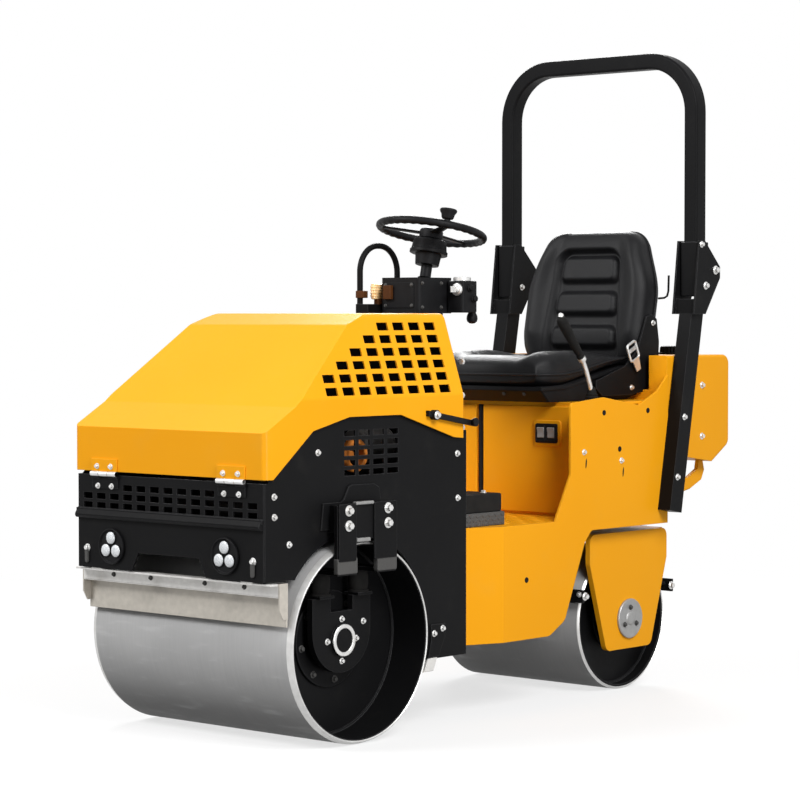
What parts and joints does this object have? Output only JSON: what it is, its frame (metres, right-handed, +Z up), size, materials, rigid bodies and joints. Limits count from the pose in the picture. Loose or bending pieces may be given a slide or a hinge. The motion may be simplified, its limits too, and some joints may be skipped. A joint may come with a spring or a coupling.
{
  "type": "ride-on road roller",
  "caption": "Ride-on tandem vibratory roller with a wide front drum, a steered narrow rear drum, tilting engine hood, seat, steering wheel and folding roll bar.",
  "frame": {"origin": "on the ground at the middle of the machine's bounding box", "axes": "+Z up, -Y towards the front, +X towards the operator's left"},
  "size_m": [0.834, 2.195, 2.01],
  "materials": {
    "yellow_paint": "gloss enamel",
    "black_paint": "satin enamel",
    "drum_steel": "rolled bare steel",
    "grey_steel": "zinc plated",
    "engine_iron": "matte paint",
    "black_plastic": "moulded grain",
    "black_rubber": "moulded",
    "seat_vinyl": "grained vinyl",
    "lamp_glass": "clear lens"
  },
  "bodies": {
    "front_drum": {"front_drum_shell": "drum_steel", "front_drum_heads": "black_paint"},
    "hood": {"hood": "yellow_paint", "hinge_upper_leaves": "yellow_paint", "hood_latches": "black_plastic"},
    "rear_yoke": {"yoke_top": "yellow_paint", "yoke_plate_left": "yellow_paint", "yoke_plate_right": "yellow_paint", "yoke_caps": "grey_steel", "yoke_scrapers": "black_paint"},
    "rear_drum": {"rear_drum_shell": "drum_steel", "rear_drum_heads": "black_paint"},
    "steering_wheel": {"steering_wheel": "black_plastic"},
    "roll_bar": {"roll_bar_hoop": "black_paint"},
    "frame": {"carrier_left": "black_paint", "carrier_right": "black_paint", "rubber_mounts": "black_rubber", "hanger_left": "black_paint", "hanger_right": "black_paint", "hinge_lower_leaves": "black_paint", "side_panel_left": "black_paint", "side_panel_right": "black_paint", "front_panel": "black_paint", "front_lamps": "lamp_glass", "bay_floor": "black_paint", "bulkhead": "black_paint", "engine": "engine_iron", "front_scraper": "grey_steel", "trailing_scraper": "grey_steel", "chassis": "black_paint", "floor_plate": "yellow_paint", "body_side_left": "yellow_paint", "body_side_right": "yellow_paint", "seat_box_front": "yellow_paint", "seat_deck": "yellow_paint", "rear_wall": "yellow_paint", "underbody": "black_paint", "dash_pedestal": "black_paint", "step_pads": "black_rubber", "rear_tank": "yellow_paint", "tank_brackets": "yellow_paint", "tow_plate": "black_paint", "roll_bar_post_left": "black_paint", "roll_bar_post_right": "black_paint", "seat_pan": "black_plastic", "seat_cushion": "seat_vinyl", "seat_back": "seat_vinyl", "console": "black_plastic", "steering_column": "black_plastic", "control_cluster": "black_plastic", "grab_hoop": "black_paint", "drive_lever": "black_plastic", "switch_box": "black_plastic"}
  },
  "joints": [
    {"name": "front_drum_spin", "type": "hinge", "parent": "frame", "child": "front_drum", "pos_m": [0, -0.729, 0.28], "axis": [1, 0, 0], "continuous": true},
    {"name": "rear_steer", "type": "hinge", "parent": "frame", "child": "rear_yoke", "pos_m": [0, 0.601, 0.497], "axis": [0, 0, 1], "range_deg": [-30, 30]},
    {"name": "rear_drum_spin", "type": "hinge", "parent": "rear_yoke", "child": "rear_drum", "pos_m": [0, 0.601, 0.224], "axis": [1, 0, 0], "continuous": true},
    {"name": "hood_tilt", "type": "hinge", "parent": "frame", "child": "hood", "pos_m": [0, -1.091, 0.731], "axis": [1, 0, 0], "range_deg": [0, 65]},
    {"name": "wheel_turn", "type": "hinge", "parent": "frame", "child": "steering_wheel", "pos_m": [0, 0.014, 1.425], "axis": [0, 0.2079, 0.9781], "range_deg": [-600, 600]},
    {"name": "roll_bar_fold", "type": "hinge", "parent": "frame", "child": "roll_bar", "pos_m": [0, 0.913, 1.316], "axis": [-1, 0, 0], "range_deg": [0, 110]}
  ],
  "couplings": [
    {"joint": "wheel_turn", "follows": "rear_steer", "ratio": -20}
  ]
}
